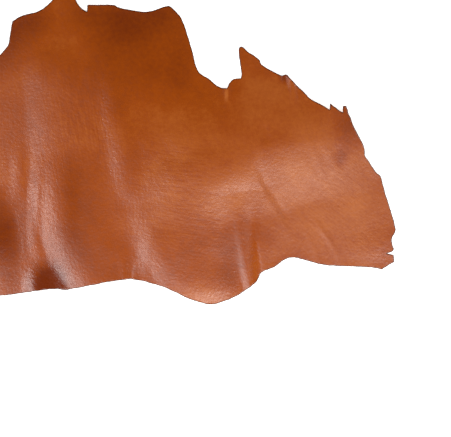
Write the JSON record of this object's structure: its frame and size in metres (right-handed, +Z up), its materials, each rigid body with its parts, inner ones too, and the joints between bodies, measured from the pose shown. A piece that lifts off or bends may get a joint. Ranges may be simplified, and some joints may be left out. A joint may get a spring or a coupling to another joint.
{
  "type": "leather hide",
  "caption": "Tanned cowhide side lying grain side up: one thin sheet with a natural cut outline, ragged neck end, shank flaps and soft waves from its roll.",
  "frame": {"origin": "centre of the hide's plan, on the floor that it lies on", "axes": "+X from the rump towards the neck, +Y from the backbone cut towards the belly edge, +Z up, out of the grain side"},
  "size_m": [2.2042, 1.0463, 0.0324],
  "materials": {
    "leather": "drum-dyed tan grain side with a light glaze, satin; the flesh side is paler and matt"
  },
  "bodies": {
    "root": {"hide": "leather"}
  },
  "joints": []
}
